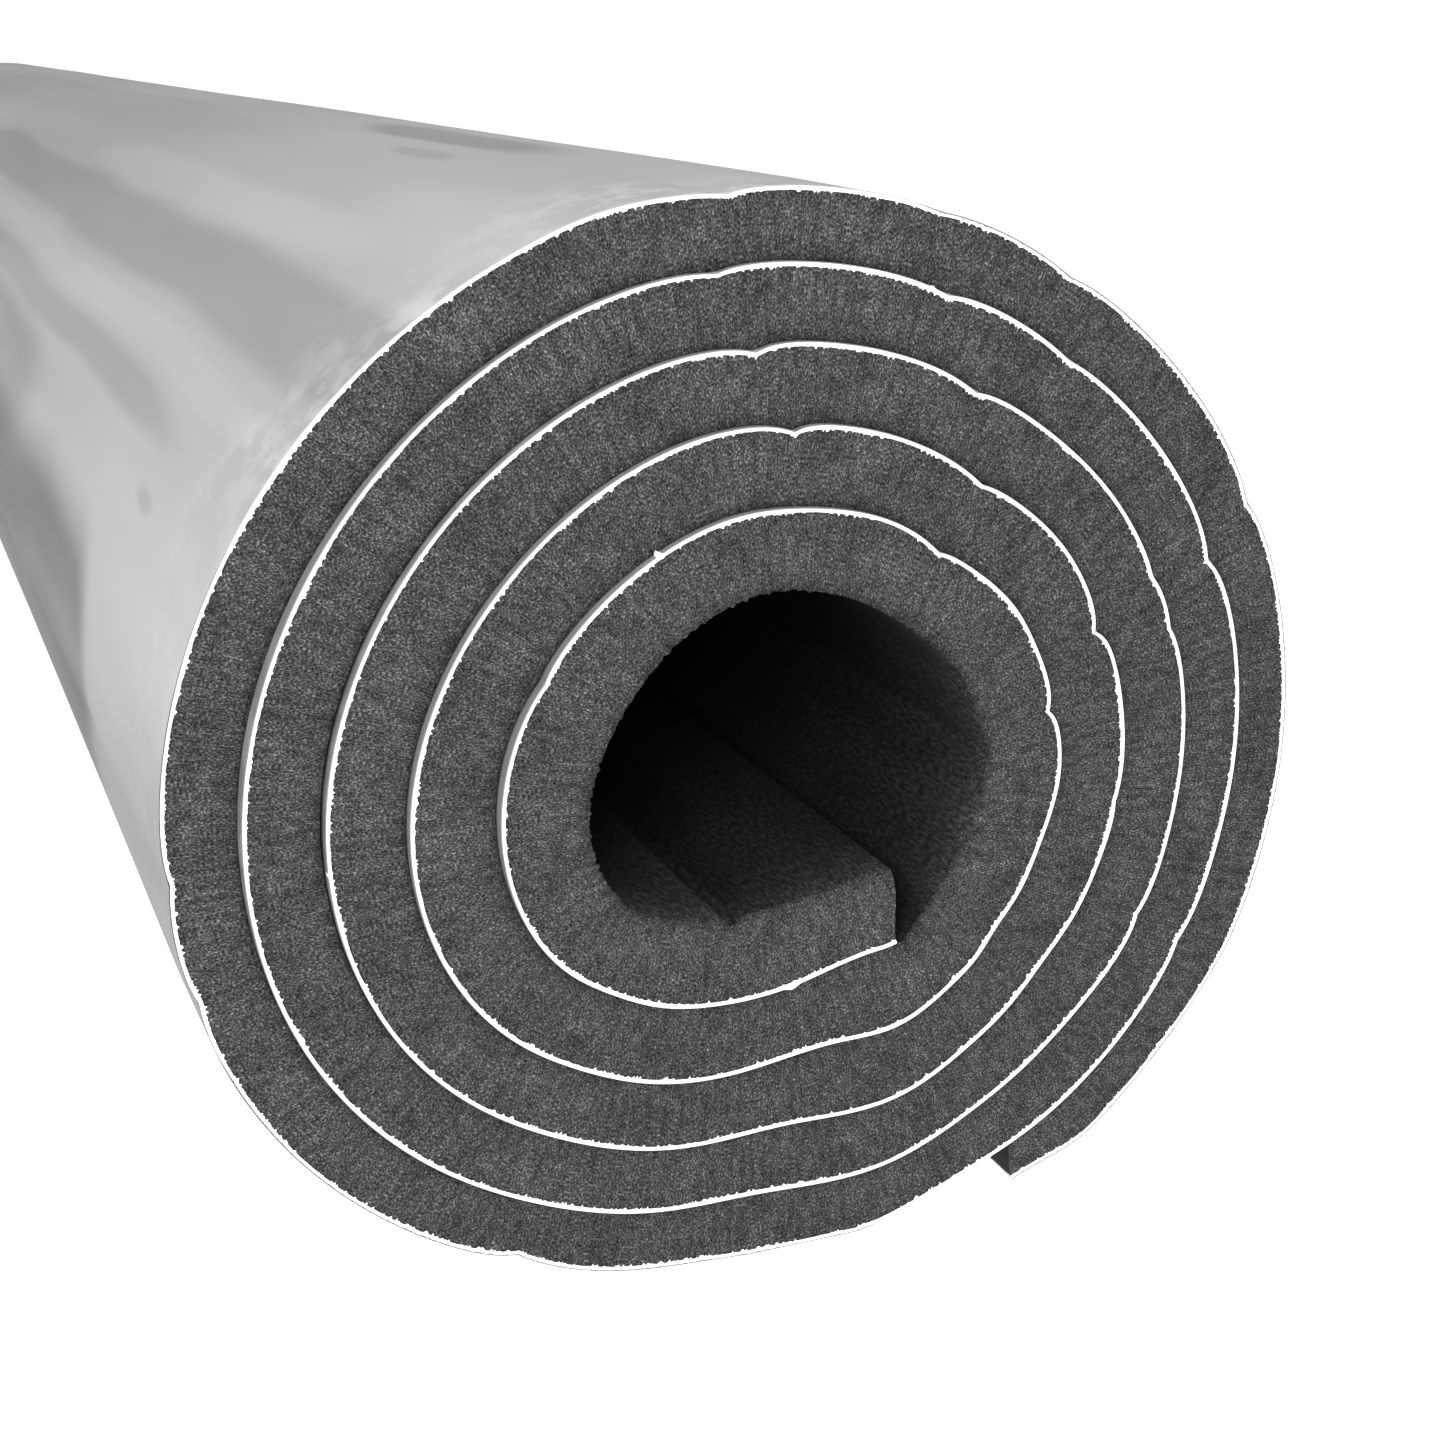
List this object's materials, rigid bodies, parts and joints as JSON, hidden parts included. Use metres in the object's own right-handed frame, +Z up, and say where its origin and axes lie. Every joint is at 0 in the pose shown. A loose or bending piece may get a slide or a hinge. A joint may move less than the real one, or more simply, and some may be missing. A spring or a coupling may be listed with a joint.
{
  "type": "rolled foam insulation sheet",
  "caption": "Sheet of black closed-cell foam with a thin silver-grey facing, wound into a slightly squashed roll with an open core, lying on its side.",
  "frame": {"origin": "centre of the bounding box's base, on the floor under the middle of the roll", "axes": "+Z up, +Y along the roll's axis away from the end that the picture shows, +X to the right in the picture"},
  "size_m": [0.1756, 1.205, 0.1605],
  "materials": {
    "foam": "charcoal black closed-cell rubber foam, dull, with a fine open grain on its cut ends",
    "facing": "satin silver-grey metallised film on a white backing, slightly wrinkled"
  },
  "bodies": {
    "root": {"foam_sheet": "foam", "facing_film": "facing"}
  },
  "joints": []
}
